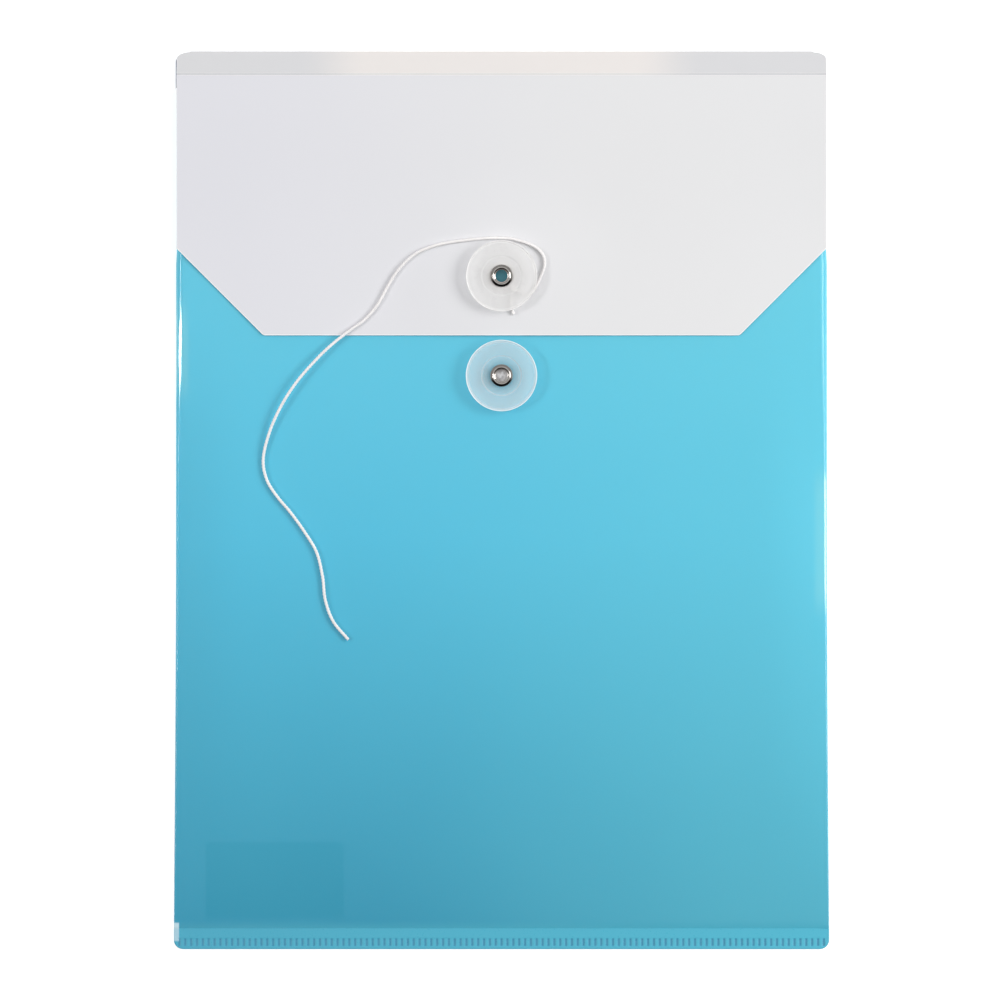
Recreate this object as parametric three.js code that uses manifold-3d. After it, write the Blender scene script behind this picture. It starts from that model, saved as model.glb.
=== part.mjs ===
// A4 document folder: a string-and-button envelope of polypropylene film, lying on its back.
// X runs across the folder, Y from the bottom weld up to the top fold, and Z up off the table.
// The origin is on the table, under the middle of the folder. All sizes are in millimetres.

import * as THREE from "three";
import { mergeVertices } from "three/addons/utils/BufferGeometryUtils.js";
import Module from "manifold-3d";

// The pouch: a tube of blue film, folded at both sides and welded flat along the bottom.
const folderWidth = 240;
const folderLength = 331;
const filmThickness = 0.3;
const pouchThickness = 6.6;
const pinchedGap = 0.1;
const bulgeLength = 150;
const sideDrawIn = 0.8;
const mouthFoldHeight = 6;
const foldHeight = 2.6;
const foldRoundLength = 72;
const foldSettleLength = 90;
const shoulderWidth = 22;
const foldStripWidth = 4;
const mouthSetback = 15.5;

// The weld: two layers of film pressed into one band by a toothed jaw.
const weldDepth = 8;
const weldThickness = 0.6;
const weldCornerRadius = 3.5;
const toothPitch = 2.16;
const toothWidth = 1;
const toothLength = 3;
const toothDepth = 0.2;
const toothToEdge = 1;
const toothToSide = 1.6;

// The closing sheet: white film welded inside the back wall, creased twice, and cut as a flap.
const sheetThickness = 0.3;
const sheetSideInset = 0.3;
const tabDepth = 13;
const spineLean = 8.3;
const creaseRadius = 0.3;
const creaseToPlate = 0.55;
const cornerTrimWidth = 4.8;
const cornerTrimDepth = 3.3;
const flapDepth = 96.2;
const flapCut = 32;
const flapTipRadius = 2;

// The two buttons: moulded discs that stand off the film on a collar and turn on an eyelet.
const buttonToFlapEdge = 21.9;
const buttonSpacing = 36.7;
const buttonDiameter = 26.3;
const buttonThickness = 0.8;
const buttonStandoff = 2.2;
const collarWall = 0.8;
const rimWidth = 0.9;
const rimHeight = 0.25;
const dishDiameter = 14.8;
const dishDepth = 0.15;

// The eyelets: drawn metal tubes with a rolled crown on top and a clinched foot below.
const eyeletCrownDiameter = 8.3;
const eyeletBoreDiameter = 4.4;
const eyeletWall = 0.4;
const crownHeight = 0.8;
const clinchDiameter = 6.8;
const clinchHeight = 0.4;
const backingDiameter = 9.6;
const washerThickness = 0.3;
const capFloor = 0.3;

// The blank label inside the pouch, against the back wall.
const labelWidth = 50.8;
const labelLength = 28;
const labelThickness = 0.1;
const labelToSide = 11.1;
const labelToWeld = 3.5;

// The tie: a limp twisted cord, knotted round the collar of the upper button.
const stringDiameter = 1.2;
const knotWidth = 3.4;
const knotLength = 3;
const knotHeight = 1.8;

// Clearances.
const seatGap = 0.1;
const runningGap = 0.2;
const boreClearance = 0.3;
const restGap = 0.3;

// Facets.
const bulgeSteps = 10;
const settleSteps = 6;
const shoulderSteps = 5;
const foldSteps = 8;
const buttonSides = 48;
const eyeletSides = 32;
const crownSteps = 8;
const creaseSides = 10;
const cornerSteps = 6;
const stringSides = 8;
const stringSteps = 80;
const tailSteps = 4;

// Places worked out from the sizes above.
const bottomY = -folderLength / 2;
const weldTopY = bottomY + weldDepth;
const mouthY = folderLength / 2 - mouthSetback;
const halfWidth = folderWidth / 2;
const weldHalfWidth = halfWidth + sideDrawIn;
const panelHalfWidth = halfWidth - foldStripWidth;
const sheetHalfWidth = halfWidth - sheetSideInset;
const pinchedThickness = 2 * filmThickness + pinchedGap;

const shankRadius = eyeletBoreDiameter / 2 + eyeletWall;
const passHoleRadius = shankRadius + boreClearance;
const collarRadius = passHoleRadius + collarWall;
const clinchStack = seatGap + washerThickness + seatGap + clinchHeight;

const topCreaseY = folderLength / 2 - creaseRadius;
const topCreaseZ = filmThickness + sheetThickness;
const flapUnderZ = pouchThickness + restGap + clinchStack;
const flapTopZ = flapUnderZ + sheetThickness;
const flapCreaseY = topCreaseY - spineLean;
const flapEdgeY = flapCreaseY - flapDepth;
const spineRise = flapUnderZ - topCreaseZ;
const spineWidth = Math.hypot(spineLean, spineRise);
const spineAngle = Math.atan2(spineRise, spineLean);

const upperButtonY = flapEdgeY + buttonToFlapEdge;
const lowerButtonY = upperButtonY - buttonSpacing;

// Route of the free string seen from above, from the knot to its cut end, in millimetres.
const stringRoute = [
  [6.9, 76.8], [8.9, 75.7], [11.1, 76.4], [12.6, 78.5], [13.9, 81.2], [15.1, 84],
  [15.9, 86.8], [15.6, 89.6], [13.8, 92.2], [10.8, 94.1], [7.1, 95.4], [3.2, 96.4],
  [-2.4, 96.6], [-8.1, 96.3], [-14.3, 95.6], [-20.5, 94.7], [-26, 93.3], [-31.3, 91],
  [-35.4, 87.7], [-38.9, 83.6], [-42.1, 78.4], [-45.7, 71.9], [-50.6, 66.3], [-57.1, 61.6],
  [-63.3, 56.6], [-69, 51], [-75.7, 43.2], [-81.3, 34.4], [-85.6, 24.6], [-87.8, 14.2],
  [-86.3, 7.2], [-82.6, 1.3], [-77.8, -4.4], [-72.6, -11.6], [-68.2, -19], [-65.9, -28.2],
  [-64.9, -36.8], [-62, -44.6], [-56.4, -51.4],
];

// Route of the short tail, from the knot to where it shows past the button's rim.
const tailRoute = [[3.6, 75.8], [3.5, 73.4], [3.8, 70.8], [4.4, 68.3]];

// Centre of the knot, measured from the upper button's centre.
const knotOffset = [4.6, -4.7];

const wasm = await Module();
wasm.setup();

function finish(color, roughness, metalness = 0, opacity = 1) {
  return { color, roughness, metalness, opacity, transparent: opacity < 1 };
}

const blueFilm = finish(0x57b8d8, 0.25, 0, 0.7);
const whiteSheet = finish(0xe3e3e6, 0.4);
const frostedPlastic = finish(0xdfe3e6, 0.5, 0, 0.85);
const nickel = finish(0xb9bcc0, 0.2, 1);
const labelPaper = finish(0xe8ebec, 0.8);
const cottonString = finish(0xe9e6de, 0.9);

function piece(name, geometry, look) {
  const mesh = new THREE.Mesh(geometry, new THREE.MeshStandardMaterial(look));
  mesh.name = name;
  return mesh;
}

// Turns a closed geometry into a solid that can be joined and cut.
function toSolid(geometry) {
  const bare = geometry.clone();
  bare.deleteAttribute("normal");
  bare.deleteAttribute("uv");
  const merged = mergeVertices(bare, 1e-4);
  const corners = merged.index.array;
  const triangles = [];
  for (let i = 0; i < corners.length; i += 3) {
    const [a, b, c] = [corners[i], corners[i + 1], corners[i + 2]];
    if (a !== b && b !== c && c !== a) triangles.push(a, b, c);
  }
  return new wasm.Manifold(new wasm.Mesh({
    numProp: 3,
    vertProperties: Float32Array.from(merged.attributes.position.array),
    triVerts: Uint32Array.from(triangles),
  }));
}

function toGeometry(solid) {
  const mesh = solid.getMesh();
  const geometry = new THREE.BufferGeometry();
  const positions = Float32Array.from(mesh.vertProperties);
  geometry.setAttribute("position", new THREE.BufferAttribute(positions, 3));
  geometry.setIndex(new THREE.BufferAttribute(Uint32Array.from(mesh.triVerts), 1));
  const flat = geometry.toNonIndexed();
  flat.computeVertexNormals();
  return flat;
}

// A flat plate cut to an outline seen from above, with its underside at a given height.
function plate(outline, thickness, underside) {
  const geometry = new THREE.ExtrudeGeometry(outline, {
    depth: thickness,
    bevelEnabled: false,
    curveSegments: cornerSteps,
  });
  return geometry.translate(0, 0, underside);
}

// A solid of revolution about Z. The profile holds [radius, height] pairs and runs
// counterclockwise, and it closes on itself unless both its ends are on the axis.
function revolve(profile, sides) {
  const points = profile.map(([radius, height]) => new THREE.Vector2(radius, height));
  if (profile[0][0] > 0) points.push(points[0].clone());
  return new THREE.LatheGeometry(points, sides).rotateX(Math.PI / 2);
}

function roundHole(x, y, radius) {
  const hole = new THREE.Path();
  hole.absarc(x, y, radius, 0, 2 * Math.PI, true);
  return hole;
}

// How far the pouch has swelled out of the weld, from 0 at the weld to 1 where it is full.
function swell(y) {
  const share = THREE.MathUtils.clamp((y - weldTopY) / bulgeLength, 0, 1);
  return Math.sin(share * Math.PI / 2);
}

// Outer height along the middle of the pouch.
function pouchHeight(y) {
  return pinchedThickness + (pouchThickness - pinchedThickness) * swell(y);
}

// Outer height of the side folds. They are round from the mouth, where the spine props them
// open, down to the end of the flap, and then settle until they lie low.
function foldTop(y) {
  const settleEnd = mouthY - foldRoundLength;
  const opening = THREE.MathUtils.smoothstep(y, settleEnd - foldSettleLength, settleEnd);
  const full = THREE.MathUtils.lerp(foldHeight, mouthFoldHeight, opening);
  return pinchedThickness + (full - pinchedThickness) * swell(y);
}

// Half the width of the pouch. The film doesn't stretch, so the sides draw in as it swells.
function pouchHalfWidth(y) {
  return weldHalfWidth - sideDrawIn * swell(y);
}

// Where the front wall leaves the right side fold. The fold's round is carried on until it
// leans back as steeply as the shoulder that rises from it, so the two meet without a kink.
function foldEdge(y) {
  const radius = foldTop(y) / 2;
  const rise = pouchHeight(y) - foldTop(y);
  const lean = Math.atan((Math.PI / 2) * rise / shoulderWidth);
  const x = pouchHalfWidth(y) - radius + radius * Math.sin(lean);
  return { lean, x, z: radius + radius * Math.cos(lean) };
}

// Outer height of the front wall at any point. It comes down to the side folds in a
// rounded shoulder.
function wallHeight(x, y) {
  const edge = foldEdge(y);
  const share = THREE.MathUtils.clamp((edge.x - Math.abs(x)) / shoulderWidth, 0, 1);
  return THREE.MathUtils.lerp(edge.z, pouchHeight(y), Math.sin(share * Math.PI / 2));
}

// Where the walls of the pouch are drawn: along the bulge out of the weld, along the stretch
// where the side folds round out, and at the mouth.
function wallStations() {
  const bulgeEnd = Math.min(weldTopY + bulgeLength, mouthY);
  const settleEnd = Math.max(mouthY - foldRoundLength, bulgeEnd);
  const settleStart = THREE.MathUtils.clamp(settleEnd - foldSettleLength, bulgeEnd, settleEnd);
  const stretches = [
    { end: bulgeEnd, steps: bulgeSteps },
    { end: settleStart, steps: 1 },
    { end: settleEnd, steps: settleSteps },
    { end: mouthY, steps: 1 },
  ];
  const stations = [weldTopY];
  for (const { end, steps } of stretches) {
    const start = stations.at(-1);
    for (let i = 1; i <= steps && end > start; i += 1) {
      stations.push(THREE.MathUtils.lerp(start, end, i / steps));
    }
  }
  return stations;
}

// The back wall lies flat on the table. It is narrower where the side folds carry on from
// it, and runs on past the mouth to the top fold at the full width, with trimmed corners.
function backPanel() {
  const topY = topCreaseY - creaseRadius;
  const outline = new THREE.Shape();
  outline.moveTo(-panelHalfWidth, weldTopY);
  outline.lineTo(panelHalfWidth, weldTopY);
  outline.lineTo(panelHalfWidth, mouthY);
  outline.lineTo(halfWidth, mouthY);
  outline.lineTo(halfWidth, topY - cornerTrimDepth);
  outline.absellipse(
    halfWidth - cornerTrimWidth, topY - cornerTrimDepth,
    cornerTrimWidth, cornerTrimDepth, 0, Math.PI / 2, false,
  );
  outline.absellipse(
    cornerTrimWidth - halfWidth, topY - cornerTrimDepth,
    cornerTrimWidth, cornerTrimDepth, Math.PI / 2, Math.PI, false,
  );
  outline.lineTo(-halfWidth, mouthY);
  outline.lineTo(-panelHalfWidth, mouthY);
  outline.closePath();
  return piece("back_panel", plate(outline, filmThickness, 0), blueFilm);
}

// Section of the front wall at one station, drawn close together over its two shoulders.
function frontSection(y) {
  const across = [];
  for (let i = 0; i <= shoulderSteps; i += 1) {
    across.push(panelHalfWidth - (i / shoulderSteps) * shoulderWidth);
  }
  const fullWidth = [...across.map((x) => -x), ...across.toReversed()];
  const outside = fullWidth.map((x) => new THREE.Vector3(x, y, wallHeight(x, y)));
  const inside = fullWidth.map((x) => new THREE.Vector3(x, y, wallHeight(x, y) - filmThickness));
  return [...outside, ...inside.toReversed()];
}

// The front wall is one sheet of film, pierced for the lower eyelet.
function frontPanel() {
  const wall = loft(wallStations().map(frontSection));
  const drill = new THREE.CylinderGeometry(
    passHoleRadius, passHoleRadius, 2 * pouchThickness, eyeletSides,
  );
  drill.rotateX(Math.PI / 2);
  drill.translate(0, lowerButtonY, pouchThickness);
  return piece("front_panel", toGeometry(toSolid(wall).subtract(toSolid(drill))), blueFilm);
}

// Section of a side fold at one station: a strip of the front wall, a half round, and a
// strip of the back wall, all one film thick.
function foldSection(y, side) {
  const edge = foldEdge(y);
  const outerRadius = foldTop(y) / 2;
  const centreX = pouchHalfWidth(y) - outerRadius;
  const arc = (radius) => {
    const points = [];
    for (let i = 0; i <= foldSteps; i += 1) {
      const angle = THREE.MathUtils.lerp(Math.PI / 2 - edge.lean, -Math.PI / 2, i / foldSteps);
      points.push([centreX + radius * Math.cos(angle), outerRadius + radius * Math.sin(angle)]);
    }
    return points;
  };
  const strip = (depth) => [panelHalfWidth, (panelHalfWidth + edge.x) / 2].map(
    (x) => [x, wallHeight(x, y) - depth],
  );
  const outside = [...strip(0), ...arc(outerRadius), [panelHalfWidth, 0]];
  const inside = [
    ...strip(filmThickness), ...arc(outerRadius - filmThickness), [panelHalfWidth, filmThickness],
  ];
  const loop = [...outside, ...inside.toReversed()].map(
    ([x, z]) => new THREE.Vector3(side * x, y, z),
  );
  return side < 0 ? loop.toReversed() : loop;
}

// Joins sections of a sheet into one closed skin. A section is the line along one face of
// the sheet and the matching line back along the other. The sections follow each other
// along Y, and seen from the front they all run clockwise.
function loft(sections) {
  const count = sections[0].length;
  const positions = sections.flat().flatMap((point) => [point.x, point.y, point.z]);
  const triangles = [];
  for (let row = 0; row < sections.length - 1; row += 1) {
    for (let i = 0; i < count; i += 1) {
      const next = (i + 1) % count;
      const near = row * count;
      const far = near + count;
      triangles.push(near + i, far + next, far + i);
      triangles.push(near + i, near + next, far + next);
    }
  }
  const last = (sections.length - 1) * count;
  for (let i = 0; i < count / 2 - 1; i += 1) {
    const across = count - 1 - i;
    triangles.push(i, across, across - 1);
    triangles.push(i, across - 1, i + 1);
    triangles.push(last + i, last + across - 1, last + across);
    triangles.push(last + i, last + i + 1, last + across - 1);
  }
  const geometry = new THREE.BufferGeometry();
  geometry.setAttribute("position", new THREE.Float32BufferAttribute(positions, 3));
  geometry.setIndex(triangles);
  const flat = geometry.toNonIndexed();
  flat.computeVertexNormals();
  return flat;
}

function sideFold(name, side) {
  const sections = wallStations().map((y) => foldSection(y, side));
  return piece(name, loft(sections), blueFilm);
}

// The welded band with its rounded corners, and the row of dents that the jaw's teeth leave.
function bottomWeld() {
  const outline = new THREE.Shape();
  outline.moveTo(weldHalfWidth, weldTopY);
  outline.lineTo(-weldHalfWidth, weldTopY);
  outline.lineTo(-weldHalfWidth, bottomY + weldCornerRadius);
  outline.absarc(
    weldCornerRadius - weldHalfWidth, bottomY + weldCornerRadius,
    weldCornerRadius, Math.PI, 1.5 * Math.PI, false,
  );
  outline.absarc(
    weldHalfWidth - weldCornerRadius, bottomY + weldCornerRadius,
    weldCornerRadius, 1.5 * Math.PI, 2 * Math.PI, false,
  );
  outline.closePath();
  let band = toSolid(plate(outline, weldThickness, 0));
  const reach = 2 * (weldHalfWidth - toothToSide);
  const count = Math.floor(reach / toothPitch) + 1;
  const firstX = -(count - 1) * toothPitch / 2;
  for (let i = 0; i < count; i += 1) {
    const tooth = new THREE.BoxGeometry(toothWidth, toothLength, 2 * toothDepth);
    tooth.translate(
      firstX + i * toothPitch,
      bottomY + toothToEdge + toothLength / 2,
      weldThickness,
    );
    band = band.subtract(toSolid(tooth));
  }
  return piece("bottom_weld", toGeometry(band), blueFilm);
}

function backLabel() {
  const left = labelToSide - halfWidth;
  const bottom = weldTopY + labelToWeld;
  const outline = new THREE.Shape([
    new THREE.Vector2(left, bottom),
    new THREE.Vector2(left + labelWidth, bottom),
    new THREE.Vector2(left + labelWidth, bottom + labelLength),
    new THREE.Vector2(left, bottom + labelLength),
  ]);
  return piece("back_label", plate(outline, labelThickness, filmThickness), labelPaper);
}

// The tab is the part of the white sheet that is welded inside the back wall.
function flapTab() {
  const topY = topCreaseY - creaseToPlate;
  const outline = new THREE.Shape();
  outline.moveTo(-sheetHalfWidth, topY - tabDepth);
  outline.lineTo(sheetHalfWidth, topY - tabDepth);
  outline.lineTo(sheetHalfWidth, topY - cornerTrimDepth);
  outline.absellipse(
    sheetHalfWidth - cornerTrimWidth, topY - cornerTrimDepth,
    cornerTrimWidth, cornerTrimDepth, 0, Math.PI / 2, false,
  );
  outline.absellipse(
    cornerTrimWidth - sheetHalfWidth, topY - cornerTrimDepth,
    cornerTrimWidth, cornerTrimDepth, Math.PI / 2, Math.PI, false,
  );
  outline.closePath();
  return piece("flap_tab", plate(outline, sheetThickness, filmThickness), whiteSheet);
}

// A crease is the rounded line where the white sheet bends, and the axis it bends about.
function crease(name, y, z, length) {
  const bead = new THREE.CylinderGeometry(creaseRadius, creaseRadius, length, creaseSides);
  bead.rotateZ(Math.PI / 2);
  bead.translate(0, y, z);
  return piece(name, bead, whiteSheet);
}

// The spine is the band between the two creases. It leans in over the mouth, so it is cut
// flat and then turned up about the top crease. Its lower corners are trimmed round.
function spineBand() {
  const outline = new THREE.Shape();
  outline.moveTo(cornerTrimWidth - sheetHalfWidth, creaseToPlate);
  outline.lineTo(sheetHalfWidth - cornerTrimWidth, creaseToPlate);
  outline.absellipse(
    sheetHalfWidth - cornerTrimWidth, creaseToPlate + cornerTrimDepth,
    cornerTrimWidth, cornerTrimDepth, -Math.PI / 2, 0, false,
  );
  outline.lineTo(sheetHalfWidth, spineWidth - creaseToPlate);
  outline.lineTo(-sheetHalfWidth, spineWidth - creaseToPlate);
  outline.lineTo(-sheetHalfWidth, creaseToPlate + cornerTrimDepth);
  outline.absellipse(
    cornerTrimWidth - sheetHalfWidth, creaseToPlate + cornerTrimDepth,
    cornerTrimWidth, cornerTrimDepth, Math.PI, 1.5 * Math.PI, false,
  );
  const band = piece("spine_band", plate(outline, sheetThickness, -sheetThickness), whiteSheet);
  band.position.set(0, topCreaseY, topCreaseZ);
  band.rotation.x = Math.PI - spineAngle;
  return band;
}

// The flap hangs from the second crease. Its two lower corners are cut off at 45 degrees.
function flap() {
  const topY = flapCreaseY - creaseToPlate;
  const tipX = sheetHalfWidth - flapCut;
  const setback = flapTipRadius * Math.tan(Math.PI / 8);
  const outline = new THREE.Shape();
  outline.moveTo(-sheetHalfWidth, topY);
  outline.lineTo(-sheetHalfWidth, flapEdgeY + flapCut);
  outline.lineTo(-tipX - setback * Math.SQRT1_2, flapEdgeY + setback * Math.SQRT1_2);
  outline.quadraticCurveTo(-tipX, flapEdgeY, -tipX + setback, flapEdgeY);
  outline.lineTo(tipX - setback, flapEdgeY);
  outline.quadraticCurveTo(
    tipX, flapEdgeY, tipX + setback * Math.SQRT1_2, flapEdgeY + setback * Math.SQRT1_2,
  );
  outline.lineTo(sheetHalfWidth, flapEdgeY + flapCut);
  outline.lineTo(sheetHalfWidth, topY);
  outline.closePath();
  outline.holes.push(roundHole(0, upperButtonY, passHoleRadius));
  return piece("flap", plate(outline, sheetThickness, flapUnderZ), whiteSheet);
}

// A button: collar, thin disc with a raised rim, and a shallow dish round the eyelet.
function button(name, y, filmTop) {
  const radius = buttonDiameter / 2;
  const foot = filmTop + runningGap;
  const underside = foot + buttonStandoff;
  const top = underside + buttonThickness;
  const edge = rimHeight;
  const profile = [
    [passHoleRadius, foot],
    [collarRadius, foot],
    [collarRadius, underside],
    [radius - edge, underside],
    [radius, underside + edge],
    [radius, top],
    [radius - edge, top + rimHeight],
    [radius - rimWidth, top + rimHeight],
    [radius - rimWidth - rimHeight, top],
    [dishDiameter / 2, top],
    [dishDiameter / 2 - dishDepth, top - dishDepth],
    [passHoleRadius, top - dishDepth],
  ];
  const disc = revolve(profile, buttonSides);
  return piece(name, disc.translate(0, y, 0), frostedPlastic);
}

// An eyelet: a rolled crown on the button, a shank through the film, and a clinched foot.
function eyelet(name, y, filmTop, clinchTop) {
  const boreRadius = eyeletBoreDiameter / 2;
  const crownRadius = eyeletCrownDiameter / 2;
  const clinchRadius = clinchDiameter / 2;
  const crownFoot = filmTop + 2 * runningGap + buttonStandoff + buttonThickness - dishDepth;
  const footZ = clinchTop - clinchHeight;
  const profile = [
    [boreRadius, footZ + clinchHeight / 4],
    [shankRadius, footZ],
    [clinchRadius - clinchHeight / 2, footZ],
    [clinchRadius, footZ + clinchHeight / 2],
    [clinchRadius - clinchHeight / 4, clinchTop],
    [shankRadius, clinchTop],
    [shankRadius, crownFoot],
  ];
  const middle = (crownRadius + boreRadius) / 2;
  const reach = (crownRadius - boreRadius) / 2;
  for (let i = 0; i <= crownSteps; i += 1) {
    const angle = (i / crownSteps) * Math.PI;
    profile.push([middle + reach * Math.cos(angle), crownFoot + crownHeight * Math.sin(angle)]);
  }
  return piece(name, revolve(profile, eyeletSides).translate(0, y, 0), nickel);
}

// The washer under the flap that the upper eyelet is clinched over.
function backingWasher() {
  const top = flapUnderZ - seatGap;
  const washer = revolve([
    [passHoleRadius, top - washerThickness],
    [backingDiameter / 2, top - washerThickness],
    [backingDiameter / 2, top],
    [passHoleRadius, top],
  ], eyeletSides);
  return piece("upper_backing_washer", washer.translate(0, upperButtonY, 0), nickel);
}

// The closed cap inside the pouch that covers the lower eyelet's clinched foot.
function backingCap() {
  const radius = backingDiameter / 2;
  const pocketRadius = clinchDiameter / 2 + boreClearance;
  const top = pouchHeight(lowerButtonY) - filmThickness - seatGap;
  const pocketFloor = top - seatGap - clinchHeight - seatGap;
  const under = pocketFloor - capFloor;
  const cap = revolve([
    [0, under],
    [pocketRadius, under],
    [radius, under + capFloor],
    [radius, top],
    [pocketRadius, top],
    [pocketRadius, pocketFloor],
    [0, pocketFloor],
  ], eyeletSides);
  return piece("lower_backing_cap", cap.translate(0, lowerButtonY, 0), nickel);
}

// Height of the string's centre line over a point of the folder. The string lies on the
// flap, drops off the flap's lower edge in a slack slope, and lies on the pouch below it.
const dropStart = 1;
const dropEnd = 8;
function stringHeight(y) {
  const drop = THREE.MathUtils.smoothstep(flapEdgeY - y, dropStart, dropEnd);
  const support = THREE.MathUtils.lerp(flapTopZ, pouchHeight(y), drop);
  return support + restGap + stringDiameter / 2;
}

function stringTube(name, route, steps) {
  const points = route.map(([x, y]) => new THREE.Vector3(x, y, stringHeight(y)));
  const radius = stringDiameter / 2;
  const section = new THREE.Shape();
  for (let i = 0; i < stringSides; i += 1) {
    const angle = (i + 0.5) * 2 * Math.PI / stringSides;
    const corner = [radius * Math.cos(angle), radius * Math.sin(angle)];
    if (i === 0) section.moveTo(...corner);
    else section.lineTo(...corner);
  }
  section.closePath();
  const tube = new THREE.ExtrudeGeometry(section, {
    steps,
    bevelEnabled: false,
    extrudePath: new THREE.CatmullRomCurve3(points, false, "centripetal"),
  });
  return piece(name, tube, cottonString);
}

// The string's turn round the collar, with the flattened knot that closes it.
function stringLoop() {
  const radius = stringDiameter / 2;
  const height = flapTopZ + restGap + radius;
  const turn = new THREE.TorusGeometry(
    collarRadius + restGap + radius, radius, stringSides, buttonSides / 2,
  );
  turn.translate(0, upperButtonY, height);
  const knot = new THREE.SphereGeometry(0.5, 2 * stringSides, stringSides);
  knot.rotateX(Math.PI / 2);
  knot.scale(knotWidth, knotLength, knotHeight);
  knot.translate(
    knotOffset[0],
    upperButtonY + knotOffset[1],
    flapTopZ + restGap + knotHeight / 2,
  );
  return piece("string_loop", toGeometry(toSolid(turn).add(toSolid(knot))), cottonString);
}

function pouch() {
  const group = new THREE.Group();
  const lowerWallTop = pouchHeight(lowerButtonY);
  const lowerClinchTop = lowerWallTop - filmThickness - 2 * seatGap;
  group.add(
    backPanel(),
    frontPanel(),
    sideFold("left_side_fold", -1),
    sideFold("right_side_fold", 1),
    bottomWeld(),
    backLabel(),
    flapTab(),
    crease("top_crease", topCreaseY, topCreaseZ, 2 * (sheetHalfWidth - cornerTrimWidth)),
    eyelet("lower_eyelet", lowerButtonY, lowerWallTop, lowerClinchTop),
    backingCap(),
    button("lower_button", lowerButtonY, lowerWallTop),
  );
  return group;
}

function closure() {
  const group = new THREE.Group();
  const upperClinchTop = flapUnderZ - 2 * seatGap - washerThickness;
  group.add(
    spineBand(),
    crease("flap_crease", flapCreaseY, flapUnderZ, 2 * sheetHalfWidth),
    flap(),
    backingWasher(),
    eyelet("upper_eyelet", upperButtonY, flapTopZ, upperClinchTop),
    button("upper_button", upperButtonY, flapTopZ),
    stringLoop(),
    stringTube("string_tail", tailRoute, tailSteps),
    stringTube("tie_string", stringRoute, stringSteps),
  );
  return group;
}

const folder = new THREE.Group();
folder.add(pouch(), closure());

export default folder;
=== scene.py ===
# %% [markdown]
# # A string-and-button document folder
#
# The folder is a flat pouch of translucent blue film with a white flap. It lies on its
# back and is seen from straight above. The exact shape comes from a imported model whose
# named bodies can move. This lesson dresses that model: each cell builds one piece of the
# real folder, puts it where the model says, and tells which body carries it.

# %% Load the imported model
import math

import bmesh
import bpy
from mathutils import Matrix, Vector


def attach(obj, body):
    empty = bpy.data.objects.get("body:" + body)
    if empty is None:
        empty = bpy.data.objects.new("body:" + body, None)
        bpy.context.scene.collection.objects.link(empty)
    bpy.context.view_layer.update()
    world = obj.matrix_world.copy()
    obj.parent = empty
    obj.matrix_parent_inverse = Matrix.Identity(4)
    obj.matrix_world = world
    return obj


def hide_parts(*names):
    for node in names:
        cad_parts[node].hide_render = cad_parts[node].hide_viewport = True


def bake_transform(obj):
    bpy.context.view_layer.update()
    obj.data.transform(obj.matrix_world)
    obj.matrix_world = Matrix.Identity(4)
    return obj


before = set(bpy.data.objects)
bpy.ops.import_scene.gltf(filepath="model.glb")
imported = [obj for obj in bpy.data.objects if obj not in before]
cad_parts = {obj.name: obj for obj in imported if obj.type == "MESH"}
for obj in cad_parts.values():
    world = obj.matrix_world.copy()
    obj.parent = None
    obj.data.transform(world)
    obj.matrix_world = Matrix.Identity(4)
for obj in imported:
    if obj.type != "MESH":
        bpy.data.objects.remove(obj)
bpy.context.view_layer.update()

MM = 0.001

# %% [markdown]
# ## Sizes
#
# A maker starts with a cutting sheet: how wide the film is, where the creases run, how
# far the buttons stand off. All sizes here are in millimetres and become metres only
# where a mesh is made, so that they read like the labels on a drawing.

# %% Sizes of the folder
FILM = 0.3
BOTTOM, WELD_TOP, MOUTH, BACK_TOP = -165.5, -157.5, 150.0, 164.9
WELD_HALF_WIDTH, WELD_HEIGHT = 120.8, 0.6
FULL_HEIGHT, PINCHED_HEIGHT, BULGE_LENGTH = 6.6, 0.7, 150.0
FOLD_HEIGHT, MOUTH_FOLD_HEIGHT, SHOULDER = 2.6, 6.0, 22.0
FOLD_ROUND, FOLD_SETTLE = 72.0, 90.0
SIDE_TAPER, TUCK_IN, TUCK_START, TUCK_END = 0.8, 0.55, 86.0, 97.0
TRIM_WIDTH, TRIM_DEPTH = 4.8, 3.3

SHEET, SHEET_HALF_WIDTH = 0.3, 119.7
TOP_CREASE = (165.2, 0.6)
FLAP_CREASE = (156.9, 7.8)
FLAP_TOP = 8.1
FLAP_EDGE, FLAP_CUT = 60.7, 32.0
SAG, SIDE_SAG, SAG_START, SAG_END = 0.85, 0.45, 5.0, 60.0

UPPER_BUTTON, LOWER_BUTTON = 82.6, 45.9
COLLAR_FOOT, COLLAR_LENGTH, DISC_THICKNESS, DISH_DEPTH = 0.2, 2.2, 0.8, 0.16
EYELET_HOLE = 2.9
STRING, STRING_ARCH, ARCH_LENGTH, STRING_GAP = 1.2, 1.1, 46.0, 0.1

# %% [markdown]
# ## The shape of the pouch
#
# A pouch of springy film is thin where it is welded and swells towards the mouth, where
# the flap's spine props it open. Its side folds are round beside the flap and lie low
# further down. A few short functions say all of this, and the film, the flap that rests
# on it and the string that lies on both ask them for heights.

# %% Heights of the pouch
def clamp(value, low=0.0, high=1.0):
    return max(low, min(high, value))


def ease(value, start, end):
    share = clamp((value - start) / (end - start))
    return share * share * (3 - 2 * share)


def mix(a, b, share):
    return a + (b - a) * share


def swell(y):
    return math.sin(clamp((y - WELD_TOP) / BULGE_LENGTH) * math.pi / 2)


def pouch_height(y):
    return mix(PINCHED_HEIGHT, FULL_HEIGHT, swell(y))


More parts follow.
